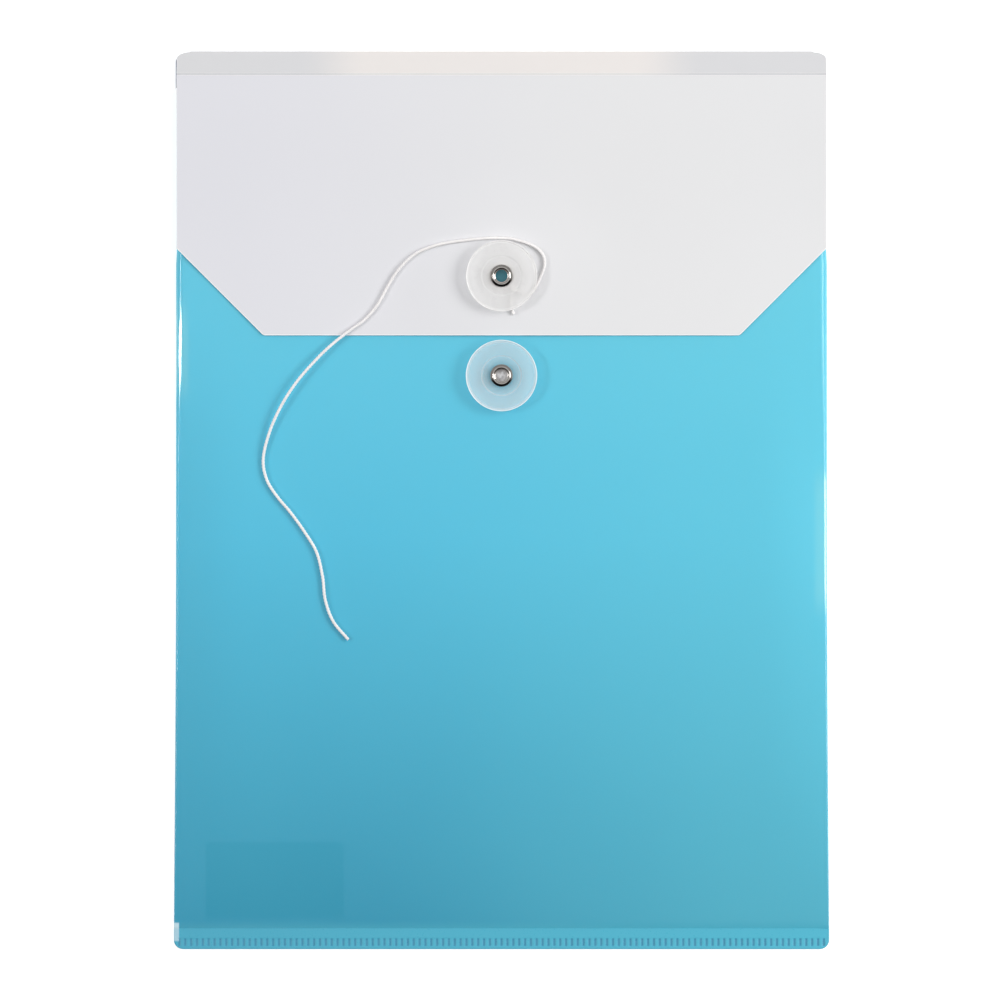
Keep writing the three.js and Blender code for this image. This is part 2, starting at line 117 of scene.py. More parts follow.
def fold_height(y):
    settle_end = MOUTH - FOLD_ROUND
    full = mix(FOLD_HEIGHT, MOUTH_FOLD_HEIGHT, ease(y, settle_end - FOLD_SETTLE, settle_end))
    return mix(PINCHED_HEIGHT, full, swell(y))


def pouch_half_width(y):
    """Beside the flap the film is a little narrower, so that the flap covers it."""
    return WELD_HALF_WIDTH - SIDE_TAPER * swell(y) - TUCK_IN * ease(y, TUCK_START, TUCK_END)


def fold_edge(y):
    """Where the front wall leaves the right fold: its lean, its x and its height."""
    radius = fold_height(y) / 2
    lean = math.atan(math.pi / 2 * (pouch_height(y) - fold_height(y)) / SHOULDER)
    x = pouch_half_width(y) - radius + radius * math.sin(lean)
    return lean, x, radius + radius * math.cos(lean)


def wall_height(x, y):
    lean, edge_x, edge_z = fold_edge(y)
    share = clamp((edge_x - abs(x)) / SHOULDER)
    return mix(edge_z, pouch_height(y), math.sin(share * math.pi / 2))


def flap_sag(x, y):
    """How far the flap hangs below its creased end: it comes to rest on the film."""
    freed = ease(FLAP_CREASE[0] - y, SAG_START, SAG_END)
    round_button = SAG * ease(math.hypot(x, y - UPPER_BUTTON), 12, 45)
    return freed * (round_button + SIDE_SAG * ease(abs(x), 85, SHEET_HALF_WIDTH))


print("pouch height at the weld, the middle and the mouth:",
      [round(pouch_height(y), 2) for y in (WELD_TOP, 0, MOUTH)], "mm")

# %% [markdown]
# ## The camera
#
# The folder is looked at from straight above with almost no perspective, as through a
# long lens from far off. A short lens would show the thicker top larger than the thin
# bottom. The lens length is worked out so that the picture spans 368.66 mm of the table.

# %% Camera
CAMERA_HEIGHT = 8.0
PICTURE_WIDTH = 368.66 * MM

camera_data = bpy.data.cameras.new("overhead_camera")
camera_data.sensor_width = 36
camera_data.lens = camera_data.sensor_width * CAMERA_HEIGHT / PICTURE_WIDTH
camera_data.clip_start, camera_data.clip_end = 0.1, 100
camera = bpy.data.objects.new("overhead_camera", camera_data)
camera.location = (-0.55 * MM, 0.07 * MM, CAMERA_HEIGHT)
bpy.context.collection.objects.link(camera)
bpy.context.scene.camera = camera
print("lens:", round(camera_data.lens), "mm")

# %% [markdown]
# ## Making meshes
#
# Most pieces are built point by point, because their shape follows a formula. One helper
# turns millimetre points and faces into an object, and another rounds the corners of an
# outline, as every moulded or stamped edge is a little round and catches the light.

# %% Mesh helpers
def linked(name, data):
    """A new object of the scene that holds a mesh, a curve or a lamp."""
    item = bpy.data.objects.new(name, data)
    bpy.context.collection.objects.link(item)
    return item


def clean_mesh(mesh):
    """Turns all faces outwards and dissolves the slivers that a cut can leave."""
    work = bmesh.new()
    work.from_mesh(mesh)
    bmesh.ops.dissolve_degenerate(work, edges=work.edges[:], dist=2e-7)
    bmesh.ops.recalc_face_normals(work, faces=work.faces[:])
    work.to_mesh(mesh)
    work.free()


def new_piece(name, points, faces, soft_angle=40):
    mesh = bpy.data.meshes.new(name)
    mesh.from_pydata([[c * MM for c in point] for point in points], [], faces)
    mesh.validate()
    clean_mesh(mesh)
    mesh.shade_smooth()
    mesh.set_sharp_from_angle(angle=math.radians(soft_angle))
    return linked(name, mesh)


def rounded(outline, radius, steps=4, closed=True):
    """The same outline with each corner replaced by a small bend."""
    corners = [Vector(corner) for corner in outline]
    result = []
    for i, corner in enumerate(corners):
        if not closed and i in (0, len(corners) - 1):
            result.append(tuple(corner))
            continue
        back = corners[i - 1] - corner
        ahead = corners[(i + 1) % len(corners)] - corner
        start = corner + back.normalized() * min(radius, 0.45 * back.length)
        end = corner + ahead.normalized() * min(radius, 0.45 * ahead.length)
        for k in range(steps + 1):
            t = k / steps
            result.append(tuple((1 - t) ** 2 * start + 2 * t * (1 - t) * corner + t * t * end))
    return result


def grid_faces(rows, columns, around=False, looped=False):
    """Quads of points listed row by row. Rows can close on themselves, and so can columns."""
    faces = []
    for row in range(rows if looped else rows - 1):
        near, far = row * columns, (row + 1) % rows * columns
        for i in range(columns if around else columns - 1):
            j = (i + 1) % columns
            faces.append((near + i, near + j, far + j, far + i))
    return faces


def end_faces(rows, columns):
    """The two faces that close the ends of a tube."""
    last = (rows - 1) * columns
    return [tuple(range(columns)), tuple(range(last, last + columns))]


def evaluated_mesh(drawn):
    """The mesh that a curve, or a piece with modifiers, is turned into."""
    depsgraph = bpy.context.evaluated_depsgraph_get()
    return bpy.data.meshes.new_from_object(drawn.evaluated_get(depsgraph))


def apply_modifiers(piece):
    mesh = evaluated_mesh(piece)
    piece.modifiers.clear()
    piece.data = mesh


# %% [markdown]
# ## The string
#
# The real tie is a limp cotton cord of three soft strands. It is knotted round the
# collar of the upper button, leaves it to the right, comes round the disc and wanders
# down over the flap's edge to its cut end. A plain round tube would look like wire, so
# the cord's outline has three lobes, and the outline turns as it travels.

# %% Route of the free string
STRING_ROUTE = [
    (5.5, 77.3), (6.9, 76.6), (8.9, 75.7), (11.1, 76.4), (12.6, 78.5), (13.9, 81.2), (15.1, 84),
    (15.9, 86.8), (15.6, 89.6), (13.8, 92.2), (10.8, 94.1), (7.1, 95.4), (3.2, 96.4),
    (-2.4, 96.6), (-8.1, 96.3), (-14.3, 95.6), (-20.5, 94.7), (-26, 93.3), (-31.3, 91),
    (-35.4, 87.7), (-38.9, 83.6), (-42.1, 78.4), (-45.7, 71.9), (-50.6, 66.3),
    (-57.1, 61.6), (-63.3, 56.6), (-69, 51), (-75.7, 43.2), (-81.3, 34.4), (-85.6, 24.6),
    (-87.8, 14.2), (-86.3, 7.2), (-82.6, 1.3), (-77.8, -4.4), (-72.6, -11.6),
    (-68.2, -19), (-65.9, -28.2), (-64.9, -36.8), (-62, -44.6), (-56.4, -51.4),
]
TAIL_ROUTE = [(3.9, 76.5), (3.5, 73.4), (3.8, 70.8), (4.4, 68.3)]


def string_height(x, y):
    """Height of the string's middle: it lies on the flap, leaves it in an arch and lands."""
    past_edge = clamp((FLAP_EDGE + 3 - y) / ARCH_LENGTH)
    support = mix(FLAP_TOP - flap_sag(x, y), pouch_height(y), ease(past_edge, 0, 1))
    return support + STRING_ARCH * math.sin(math.pi * past_edge) + STRING_GAP + STRING / 2


def smooth_route(route, spacing=0.35):
    """Evenly spaced points of a smooth curve through the route's points."""
    points = [Vector((x, y, string_height(x, y))) for x, y in route]
    points = [2 * points[0] - points[1], *points, 2 * points[-1] - points[-2]]
    dense = []
    t0 = 0.0
    for a, b, c, d in zip(points, points[1:], points[2:], points[3:]):
        t1 = math.sqrt((b - a).length)
        t2 = t1 + math.sqrt((c - b).length)
        t3 = t2 + math.sqrt((d - c).length)
        for k in range(24):
            t = mix(t1, t2, k / 24)
            ab = a.lerp(b, (t - t0) / (t1 - t0))
            bc = b.lerp(c, (t - t1) / (t2 - t1))
            cd = c.lerp(d, (t - t2) / (t3 - t2))
            abc = ab.lerp(bc, (t - t0) / (t2 - t0))
            bcd = bc.lerp(cd, (t - t1) / (t3 - t1))
            dense.append(abc.lerp(bcd, (t - t1) / (t2 - t1)))
    dense.append(points[-2])
    return even_points(dense, spacing)


def even_points(dense, spacing):
    """Points at equal distances along a line of closely set points."""
    total = route_length(dense)
    count = max(2, round(total / spacing))
    step = total / count
    result, travelled = [dense[0]], 0.0
    for a, b in zip(dense, dense[1:]):
        piece_length = (b - a).length
        while len(result) < count and travelled + piece_length >= step * len(result):
            share = (step * len(result) - travelled) / piece_length
            result.append(a.lerp(b, share))
        travelled += piece_length
    return [*result, dense[-1]]


def route_length(points):
    return sum((b - a).length for a, b in zip(points, points[1:]))


free_line = smooth_route(STRING_ROUTE)
print("free string:", round(route_length(free_line), 1), "mm long,", len(free_line), "points")

# %% Twisted cord
STRANDS, STRAND_RADIUS, STRAND_OFFSET, LAY_LENGTH = 3, 0.4, 0.3, 3.6


def strand_outline(angle):
    """Radius of three strands pressed together, in one direction from the middle."""
    third = 2 * math.pi / STRANDS
    off = (angle + third / 2) % third - third / 2
    depth = STRAND_RADIUS ** 2 - (STRAND_OFFSET * math.sin(off)) ** 2
    return STRAND_OFFSET * math.cos(off) + math.sqrt(depth)


def twisted_cord(name, line, radius=STRING / 2, sides=21, closed=False, taper=0.0):
    """A cord along a line of points. Its lobed outline turns once in every lay length."""
    size = radius / (STRAND_RADIUS + STRAND_OFFSET)
    up = Vector((0, 0, 1))
    points, travelled, count = [], 0.0, len(line)
    turns = max(1, round(route_length(line) / LAY_LENGTH))
    total = route_length(line) + ((line[0] - line[-1]).length if closed else 0)
    for i, point in enumerate(line):
        ahead = line[(i + 1) % count] if closed or i < count - 1 else point
        behind = line[i - 1] if closed or i > 0 else point
        along = (ahead - behind).normalized()
        side = along.cross(up).normalized()
        top = side.cross(along)
        if i:
            travelled += (point - line[i - 1]).length
        twist = 2 * math.pi * turns * travelled / total
        end = min(i, count - 1 - i) if not closed else count
        slim = 1 - taper * max(0, 1 - end / 2)
        for k in range(sides):
            angle = 2 * math.pi * k / sides
            reach = size * slim * strand_outline(angle - twist)
            points.append(point + side * math.cos(angle) * reach + top * math.sin(angle) * reach)
    faces = grid_faces(count, sides, around=True, looped=closed)
    if not closed:
        faces += end_faces(count, sides)
    return new_piece(name, points, faces, soft_angle=80)


free_string = twisted_cord("free_string", free_line, taper=0.12)
short_end = twisted_cord("string_short_end", smooth_route(TAIL_ROUTE), taper=0.1)
for piece in (free_string, short_end):
    print(piece.name, "has", len(piece.data.polygons), "faces")

# %% [markdown]
# The turn round the collar is the same cord, closed into a ring. The knot that closes it
# is small and pulled tight. Tying it strand by strand would be hidden under the disc, so
# two short wraps of thinner cord, lying across the ring, stand for its visible lumps.

# %% Turn round the collar, and knot
TURN_RADIUS, TURN_FOOT = 4.7, FLAP_TOP + 0.3
TURN_POINTS, WRAP_POINTS = 84, 26
WRAP_LEANS, WRAP_CORD_RADIUS = (0.5, 2.1), 0.52
KNOT = Vector((4.6, UPPER_BUTTON - TURN_RADIUS, TURN_FOOT + 0.9))


def join_pieces(name, pieces):
    """One object that holds the meshes of several."""
    points, faces = [], []
    for piece in pieces:
        start = len(points)
        points.extend([tuple(v.co / MM) for v in piece.data.vertices])
        faces.extend([tuple(start + i for i in p.vertices) for p in piece.data.polygons])
        bpy.data.objects.remove(piece)
    return new_piece(name, points, faces, soft_angle=80)


turn_line = []
for k in range(TURN_POINTS):
    angle = 2 * math.pi * k / TURN_POINTS
    turn_line.append(Vector((
        TURN_RADIUS * math.cos(angle),
        UPPER_BUTTON + TURN_RADIUS * math.sin(angle),
        TURN_FOOT + STRING / 2,
    )))
turn = twisted_cord("turn", turn_line, closed=True)

wraps = []
for number, lean in enumerate(WRAP_LEANS):
    wrap_line = []
    for k in range(WRAP_POINTS):
        angle = 2 * math.pi * k / WRAP_POINTS
        flat = Vector((1.15 * math.cos(angle), 0.42 * math.sin(angle), 0.36 * math.sin(angle)))
        flat.rotate(Matrix.Rotation(lean, 3, "Z"))
        wrap_line.append(KNOT + flat)
    wraps.append(twisted_cord(f"wrap_{number}", wrap_line, WRAP_CORD_RADIUS, 12, closed=True))
string_turn = join_pieces("string_turn", [turn, *wraps])
print("turn and knot:", len(string_turn.data.polygons), "faces")

for string_piece, node in ((free_string, "tie_string"), (short_end, "string_tail"),
                           (string_turn, "string_loop")):
    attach(string_piece, "flap_sheet")
    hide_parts(node)

# %% [markdown]
# ## The film pouch
#
# The pouch is one sheet of polypropylene, folded round both sides. If the two walls and
# the two folds were separate pieces, their joints would show as lines through the
# translucent film. So one closed ring is drawn at each station along the folder, the
# rings are joined into a skin, and a Solidify modifier gives the skin its film thickness.
# Faint waves keep the front from looking like glass. Along one stretch of each side fold
# the film is pulled nearly flat, and that narrow facet mirrors a lamp as a white streak.

# %% Rings of the pouch
FRONT_STEPS, FOLD_STEPS, BACK_STEPS = 56, 30, 30
FRONT_SHARES = [-1 + 2 * k / FRONT_STEPS for k in range(1, FRONT_STEPS)]
FACET_LEAN, FACET_REACH, FACET_FLATNESS = math.radians(27), math.radians(20), 0.9
FACET_STRETCHES, FACET_FADE = {-1: (33, 78), 1: (-46, 16)}, 14


def film_wave(x, y):
    """Slow dents of the front film, at most a fifth of a millimetre deep."""
    wave = math.sin(0.041 * x + 0.8) * math.sin(0.033 * y + 0.4 * math.sin(0.02 * x))
    wave += 0.5 * math.sin(0.071 * x - 0.029 * y + 2.0)
    calm = ease(abs(x), 112, 96)
    calm *= ease(y, WELD_TOP, WELD_TOP + 40)
    calm *= ease(math.hypot(x, y - LOWER_BUTTON), 8, 30)
    return 0.13 * calm * (0.5 + wave / 3)


def facet_share(y, side):
    """1 along the stretch where a side fold is pulled nearly flat."""
    start, end = FACET_STRETCHES[side]
    return ease(y, start, start + FACET_FADE) * ease(y, end, end - FACET_FADE)


def fold_arc(y, side):
    """Middle of the film round a side fold, from the front wall down to the back wall."""
    lean = fold_edge(y)[0]
    outer = fold_height(y) / 2
    middle = outer - FILM / 2
    centre = pouch_half_width(y) - outer
    flatness = FACET_FLATNESS * facet_share(y, side)
    arc = []
    for k in range(FOLD_STEPS + 1):
        angle = mix(math.pi / 2 - lean, -math.pi / 2, k / FOLD_STEPS)
        off = min(abs(math.pi / 2 - angle - FACET_LEAN), FACET_REACH)
        reach = mix(middle, middle * math.cos(FACET_REACH) / math.cos(off), flatness)
        arc.append((side * (centre + reach * math.cos(angle)), y,
                    outer + reach * math.sin(angle)))
    return arc


def pouch_ring(y):
    """The middle of the film once round the pouch, from the front's left side."""
    edge_x = fold_edge(y)[1]
    pinch = (PINCHED_HEIGHT - WELD_HEIGHT) * ease(y, WELD_TOP + 3, WELD_TOP)
    front = []
    for share in FRONT_SHARES:
        x = share * edge_x
        front.append((x, y, wall_height(x, y) - FILM / 2 - film_wave(x, y) - pinch))
    centre = pouch_half_width(y) - fold_height(y) / 2
    back = [(mix(centre, -centre, k / BACK_STEPS), y, FILM / 2) for k in range(1, BACK_STEPS)]
    return [*front, *fold_arc(y, 1), *back, *reversed(fold_arc(y, -1))]


def tucked_ring():
    """The first ring is pressed together inside the weld, so that no cut edge shows."""
    middle = WELD_HEIGHT / 2
    return [(x * 0.998, y - 0.5, middle + (z - middle) * 0.6) for x, y, z in pouch_ring(WELD_TOP)]


stations = [WELD_TOP + 1.5 * k for k in range(8)]
stations += [mix(WELD_TOP + 12, MOUTH, k / 70) for k in range(71)]
rings = [tucked_ring(), *[pouch_ring(y) for y in stations]]
ring_points = [point for ring in rings for point in ring]
ring_size = len(rings[0])
film_faces = grid_faces(len(rings), ring_size, around=True)
print("pouch rings:", len(rings), "of", ring_size, "points")

# %% [markdown]
# Above the mouth only the back wall goes on, up to the top fold, with its two corners
# trimmed round. The white sheet is welded on a little off the middle, so a thin line of
# film shows at its left. These rows start from the last ring's back points, so the film
# stays one sheet. The hole for the lower eyelet is punched through at the end with a Boolean.

# %% Film above the mouth
MOUTH_HALF_WIDTH, BACK_HALF_WIDTH, SEAM_OFFSET = 116.45, 119.5, 0.55
BACK_ROWS = 24


def back_half_width(y):
    """The back wall's right edge, with its trimmed corner at the top."""
    opened = mix(MOUTH_HALF_WIDTH, BACK_HALF_WIDTH, ease(y, MOUTH, MOUTH + 2))
    corner_start = BACK_TOP - TRIM_DEPTH
    if y <= corner_start:
        return opened
    rise = clamp((y - corner_start) / TRIM_DEPTH)
    return opened - TRIM_WIDTH * (1 - math.sqrt(1 - rise * rise))


first_back = len(FRONT_SHARES) + FOLD_STEPS
last_ring = (len(rings) - 1) * ring_size
previous = [last_ring + first_back + k for k in range(BACK_STEPS + 1)]
film_points = list(ring_points)
for k in range(1, BACK_ROWS + 1):
    y = mix(MOUTH, BACK_TOP, 1 - (1 - k / BACK_ROWS) ** 1.6)
    start = len(film_points)
    right = back_half_width(y)
    left = -right - SEAM_OFFSET * ease(y, MOUTH, MOUTH + 2)
    film_points += [(mix(right, left, i / BACK_STEPS), y, FILM / 2) for i in range(BACK_STEPS + 1)]
    for i in range(BACK_STEPS):
        film_faces.append((previous[i], previous[i + 1], start + i + 1, start + i))
    previous = [start + i for i in range(BACK_STEPS + 1)]

pouch_film = new_piece("pouch_film", film_points, film_faces, soft_angle=60)
thickness = pouch_film.modifiers.new("film_thickness", "SOLIDIFY")
thickness.thickness = FILM * MM
thickness.offset = 0
apply_modifiers(pouch_film)
print("film:", len(pouch_film.data.polygons), "faces")

# %% Revolved pieces
def revolved(name, profile, centre_y, sides=96, soft_angle=40):
    """A turned piece from a profile of (radius, height) points, drawn counterclockwise."""
    points = []
    for k in range(sides):
        angle = 2 * math.pi * k / sides
        for radius, height in profile:
            points.append((radius * math.cos(angle), centre_y + radius * math.sin(angle), height))
    faces = grid_faces(sides, len(profile), around=True, looped=True)
    return new_piece(name, points, faces, soft_angle)


AXIS = 0.001
drill_outline = [(AXIS, 4), (EYELET_HOLE, 4), (EYELET_HOLE, 8), (AXIS, 8)]
drill = revolved("drill", drill_outline, LOWER_BUTTON, sides=48)
punch = pouch_film.modifiers.new("eyelet_hole", "BOOLEAN")
punch.operation = "DIFFERENCE"
punch.object = drill
punch.solver = "EXACT"
apply_modifiers(pouch_film)
bpy.data.objects.remove(drill)
clean_mesh(pouch_film.data)
pouch_film.data.shade_smooth()
pouch_film.data.set_sharp_from_angle(angle=math.radians(50))
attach(pouch_film, "pouch")
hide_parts("back_panel", "front_panel", "left_side_fold", "right_side_fold")
print("punched film:", len(pouch_film.data.polygons), "faces")

# %% [markdown]
# ## The weld
#
# The bottom is closed by a hot jaw that fuses the two layers into one band and leaves a
# row of small dents. A texture could fake the dents, but real ones shade properly from
# every side. The band is a fine grid whose height drops inside each dent, and whose rim
# drops in a small round.

# %% Welded band
TOOTH_PITCH, TOOTH_WIDTH, TOOTH_LENGTH, TOOTH_DEPTH = 2.16, 1.0, 3.0, 0.2
TOOTH_CENTRE = BOTTOM + 1 + TOOTH_LENGTH / 2
LAST_TOOTH = 55
CORNER, RIM_REACH, RIM_DROP = 3.5, 0.3, 0.14
COLUMN_STEP, HALF_COLUMNS = 0.27, 446
BENT_FROM = 117


def tooth_dent(x, y):
    """How deep the jaw's teeth press the weld in at a point."""
    number = round(x / TOOTH_PITCH)
    if abs(number) > LAST_TOOTH:
        return 0.0
    across = 1 - ease(abs(x - number * TOOTH_PITCH), TOOTH_WIDTH / 2 - 0.2, TOOTH_WIDTH / 2 + 0.08)
    along = 1 - ease(abs(y - TOOTH_CENTRE), TOOTH_LENGTH / 2 - 0.3, TOOTH_LENGTH / 2 + 0.08)
    return TOOTH_DEPTH * across * along


def weld_half_width(y):
    """The weld's two lower corners are rounded off."""
    below = clamp((BOTTOM + CORNER - y) / CORNER)
    return WELD_HALF_WIDTH - CORNER * (1 - math.sqrt(1 - below * below))


weld_rows = [BOTTOM + d for d in (0, 0.08, 0.2, 0.4, 0.65, 0.9)]
weld_rows += [BOTTOM + 1.1 + 0.3 * k for k in range(23)]
half_columns = [COLUMN_STEP * k for k in range(HALF_COLUMNS)]
half_columns += [half_columns[-1] + d for d in (0.15, 0.3, 0.45, 0.55, 0.62, 0.65)]
weld_columns = [-x for x in reversed(half_columns[1:])] + half_columns
top_points, under_points = [], []
for y in weld_rows:
    reach = weld_half_width(y)
    for x in weld_columns:
        outer = clamp((abs(x) - BENT_FROM) / (WELD_HALF_WIDTH - BENT_FROM))
        moved = math.copysign(mix(min(abs(x), BENT_FROM), reach, outer), x)
        rim = min(reach - abs(moved), y - BOTTOM)
        drop = RIM_DROP * (1 - clamp(rim / RIM_REACH)) ** 2
        top_points.append((moved, y, WELD_HEIGHT - tooth_dent(moved, y) - drop))
        under_points.append((moved, y, 0.0))
rows, columns = len(weld_rows), len(weld_columns)
weld_faces = grid_faces(rows, columns)
offset = rows * columns
weld_faces += [tuple(offset + i for i in reversed(face)) for face in grid_faces(rows, columns)]
loop = list(range(columns))
loop += [row * columns + columns - 1 for row in range(1, rows)]
loop += [(rows - 1) * columns + i for i in reversed(range(columns - 1))]
loop += [row * columns for row in reversed(range(1, rows - 1))]
for a, b in zip(loop, loop[1:] + loop[:1]):
    weld_faces.append((a, offset + a, offset + b, b))
weld_band = new_piece("weld_band", top_points + under_points, weld_faces, soft_angle=50)
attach(weld_band, "pouch")
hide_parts("bottom_weld")
print("weld:", 2 * LAST_TOOTH + 1, "dents,", len(weld_band.data.polygons), "faces")

# %% [markdown]
# ## The white sheet
#
# The flap, its spine and the tab inside the back wall are cut from one white sheet. Flat
# cut pieces are quickest as filled 2D curves: the curve carries the outline and its
# holes, Extrude gives the thickness, and a small Bevel rounds the cut edge so that it
# catches the light as a thin bright line. That edge's finish also paints it brighter, as a
# painted highlight.

# %% Flat cut pieces
EDGE_ROUND = 0.08


def cut_plate(name, outline, thickness, underside, holes=(), edge=EDGE_ROUND):
    """A flat plate from its outline. Its rounded cut edge is material 1."""
    curve = bpy.data.curves.new(name, "CURVE")
    curve.dimensions = "2D"
    curve.fill_mode = "BOTH"
    curve.extrude = (thickness / 2 - edge) * MM
    curve.bevel_depth = edge * MM
    curve.bevel_resolution = 2
    curve.offset = -edge * MM
    for loop_points in [outline, *holes]:
        spline = curve.splines.new("POLY")
        spline.points.add(len(loop_points) - 1)
        for point, (x, y) in zip(spline.points, loop_points):
            point.co = (x * MM, y * MM, 0, 1)
        spline.use_cyclic_u = True
    drawn = linked(name + "_outline", curve)
    mesh = evaluated_mesh(drawn)
    bpy.data.objects.remove(drawn)
    mesh.transform(Matrix.Translation((0, 0, (underside + thickness / 2) * MM)))
    mesh.shade_smooth()
    mesh.set_sharp_from_angle(angle=math.radians(35))
    mesh.materials.clear()
    for face in mesh.polygons:
        face.material_index = 0 if abs(face.normal.z) > 0.99 else 1
    return linked(name, mesh)


def slice_plate(piece, cuts):
    """Adds edges where planes, each a point and a direction in the table, cross a plate."""
    work = bmesh.new()
    work.from_mesh(piece.data)
    for (x, y), (along_x, along_y) in cuts:
        everything = work.verts[:] + work.edges[:] + work.faces[:]
        bmesh.ops.bisect_plane(work, geom=everything, plane_co=(x * MM, y * MM, 0),
                               plane_no=(along_x, along_y, 0), dist=1e-7)
    work.to_mesh(piece.data)
    work.free()


def circle(centre_y, radius, steps=48):
    angles = [2 * math.pi * k / steps for k in range(steps)]
    return [(radius * math.cos(a), centre_y + radius * math.sin(a)) for a in angles]


def trimmed_corner(x, y, side, rising, steps=8):
    """A quarter ellipse that trims a corner of the sheet at the top fold."""
    points = []
    for k in range(steps + 1):
        angle = math.pi / 2 * k / steps
        points.append((side * (x - TRIM_WIDTH + TRIM_WIDTH * math.cos(angle)),
                       y + rising * TRIM_DEPTH * math.sin(angle)))
    return points


# %% [markdown]
# The flap has its two corners cut off at 45 degrees. A thin pale line along its cut edges
# is a painted highlight. Planes slice the plate along that line and into a grid, so that
# the line gets a finish of its own and the flap can hang a millimetre lower than its
# crease and come to rest on the film, as a real flap does.

# %% Flap and tab
TO_CREASE, TIP_BEND, TIP_STEPS = 0.3, 0.83, 6
tip_x = SHEET_HALF_WIDTH - FLAP_CUT
flap_outline = [
    (-SHEET_HALF_WIDTH, FLAP_CREASE[0] - TO_CREASE),
    (-SHEET_HALF_WIDTH, FLAP_EDGE + FLAP_CUT),
]
diagonal = math.sqrt(0.5)
slope = TIP_BEND * diagonal
for k in range(TIP_STEPS + 1):
    t = k / TIP_STEPS
    x = (1 - t) ** 2 * (-tip_x - slope) + 2 * t * (1 - t) * -tip_x + t * t * (-tip_x + TIP_BEND)
    flap_outline.append((x, FLAP_EDGE + (1 - t) ** 2 * slope))
flap_outline += [(-x, y) for x, y in reversed(flap_outline)]
flap = cut_plate("white_flap", flap_outline, SHEET, FLAP_CREASE[1],
                 [circle(UPPER_BUTTON, EYELET_HOLE)], edge=0.14)

EDGE_HIGHLIGHT_BAND = 0.36
highlight_band_lines = [((0, FLAP_EDGE + EDGE_HIGHLIGHT_BAND), (0, 1))]
for side in (-1, 1):
    start = side * (SHEET_HALF_WIDTH - EDGE_HIGHLIGHT_BAND / diagonal), FLAP_EDGE + FLAP_CUT
    highlight_band_lines.append((start, (-side * diagonal, diagonal)))
grid_lines = [((x, 0), (1, 0)) for x in range(-115, 116, 5)]
grid_lines += [((0, y), (0, 1)) for y in range(65, 155, 5)]
slice_plate(flap, highlight_band_lines + grid_lines)
# The band along the cut edges gets the painted highlight finish.
for face in flap.data.polygons:
    x, y = face.center.x / MM, face.center.y / MM
    for (at_x, at_y), (along_x, along_y) in highlight_band_lines:
        if (x - at_x) * along_x + (y - at_y) * along_y < 0:
            face.material_index = 1
for vertex in flap.data.vertices:
    vertex.co.z -= flap_sag(vertex.co.x / MM, vertex.co.y / MM) * MM
print("flap:", len(flap.data.polygons), "faces")
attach(flap, "flap_sheet")
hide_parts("flap")

TAB_BOTTOM, TAB_TOP = 151.65, TOP_CREASE[0] - TO_CREASE
tab_right = trimmed_corner(SHEET_HALF_WIDTH, TAB_TOP - TRIM_DEPTH, 1, 1)
tab_left = [(-x, y) for x, y in reversed(tab_right)]
tab_outline = [(side * SHEET_HALF_WIDTH, TAB_BOTTOM) for side in (-1, 1)]
tab_outline += tab_right + tab_left
tab = cut_plate("sheet_tab", tab_outline, SHEET, FILM)
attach(tab, "pouch")
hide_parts("flap_tab")

# %% Spine
SPINE_LEAN = FLAP_CREASE[0] - TOP_CREASE[0], FLAP_CREASE[1] - TOP_CREASE[1]
SPINE_WIDTH = math.hypot(*SPINE_LEAN)
SPINE_ANGLE = math.atan2(SPINE_LEAN[1], SPINE_LEAN[0])
spine_right = trimmed_corner(SHEET_HALF_WIDTH, TO_CREASE + TRIM_DEPTH, 1, -1)
spine_outline = spine_right[::-1]
spine_outline += [(side * SHEET_HALF_WIDTH, SPINE_WIDTH - TO_CREASE) for side in (1, -1)]
spine_outline += [(-x, y) for x, y in spine_right]
spine = cut_plate("sheet_spine", spine_outline, SHEET, -SHEET)
turned = Matrix.Translation((0, TOP_CREASE[0] * MM, TOP_CREASE[1] * MM))
turned = turned @ Matrix.Rotation(SPINE_ANGLE, 4, "X")
spine.data.transform(turned)
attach(spine, "spine")
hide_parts("spine_band")
print("spine:", round(SPINE_WIDTH, 2), "mm wide, leaning at", round(math.degrees(SPINE_ANGLE), 1))

# %% [markdown]
# ## The two creases
#
# Each crease is a living hinge: the sheet itself, scored thinner, bends there. Here each
# crease is a short strip of its own, drawn closed and joined to neither body. Its outside
# runs round the hinge's axis like a sector of a pipe, with a faint scored groove.

# %% Crease strips
def crease_strip(name, axis, start_angle, end_angle, half_length, groove):
    """A bent strip from the sheet before a crease to the sheet after it, seen in section."""
    def at(angle, radius, along):
        normal = Vector((math.cos(angle), math.sin(angle)))
        forward = Vector((-normal.y, normal.x))
        return Vector(axis) + normal * radius + forward * along

    overlap = TO_CREASE + 0.02
    section = [at(start_angle, SHEET, -overlap)]
    for k in range(13):
        share = k / 12
        dip = groove * math.sin(math.pi * share) ** 2
        section.append(at(mix(start_angle, end_angle, share), SHEET - dip, 0))
    section += [at(end_angle, SHEET, overlap), at(end_angle, 0, overlap)]
    section += [at(mix(end_angle, start_angle, k / 4), 0.01, 0) for k in range(5)]
    section.append(at(start_angle, 0, -overlap))
    stops = [mix(-half_length, half_length, k / 48) for k in range(49)]
    points = [(x, p.x, p.y) for x in stops for p in section]
    faces = grid_faces(len(stops), len(section), around=True)
    faces += end_faces(len(stops), len(section))
    return new_piece(name, points, faces, soft_angle=45)


